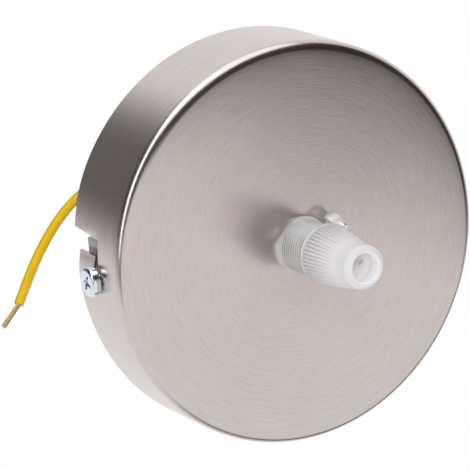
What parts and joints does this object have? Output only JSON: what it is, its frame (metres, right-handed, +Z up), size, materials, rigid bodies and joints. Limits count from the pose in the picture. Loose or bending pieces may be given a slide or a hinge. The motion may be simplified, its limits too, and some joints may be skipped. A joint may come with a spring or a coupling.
{
  "type": "electrical ceiling rose",
  "caption": "Shallow round brushed-metal ceiling rose with bayonet slots, folded mounting bracket, side screws, earth wire and clear conical cord grip.",
  "frame": {"origin": "centre of the ceiling plane, which the rim and the bracket touch", "axes": "+Z up to the ceiling along the rose's axis, the two side screws on the X axis"},
  "size_m": [0.1253, 0.1, 0.0581],
  "materials": {
    "satin_nickel": "satin brushed nickel",
    "zinc_steel": "galvanised",
    "zinc_screw": "bright zinc plated",
    "tinned_copper": "tinned",
    "earth_insulation": "smooth, yellow with a green stripe",
    "bare_copper": "bare strands",
    "clear_plastic": "clear moulded plastic"
  },
  "bodies": {
    "bracket": {"mounting_bracket": "zinc_steel", "earth_screw": "zinc_screw", "earth_washer": "zinc_screw", "ring_terminal": "tinned_copper", "earth_wire": "earth_insulation", "earth_conductor": "bare_copper"},
    "canopy": {"canopy": "satin_nickel", "grip_body": "clear_plastic", "lock_washer": "zinc_steel", "lock_nut": "zinc_steel"},
    "grip_cap": {"grip_cap": "clear_plastic"},
    "clamp_screw": {"clamp_screw": "clear_plastic"},
    "side_screw_left": {"side_screw_left": "zinc_screw"},
    "side_screw_right": {"side_screw_right": "zinc_screw"}
  },
  "joints": [
    {"name": "canopy_turn", "type": "hinge", "parent": "bracket", "child": "canopy", "pos_m": [0, 0, 0], "axis": [0, 0, -1], "range_deg": [0, 9]},
    {"name": "cap_travel", "type": "slide", "parent": "canopy", "child": "grip_cap", "axis": [0, 0, 1], "range_m": [0, 0.0023]},
    {"name": "clamp_screw_travel", "type": "slide", "parent": "canopy", "child": "clamp_screw", "axis": [0.9063, -0.4226, 0], "range_m": [0, 0.0025]},
    {"name": "left_screw_travel", "type": "slide", "parent": "bracket", "child": "side_screw_left", "axis": [-1, 0, 0], "range_m": [0, 0.003]},
    {"name": "right_screw_travel", "type": "slide", "parent": "bracket", "child": "side_screw_right", "axis": [1, 0, 0], "range_m": [0, 0.003]}
  ]
}
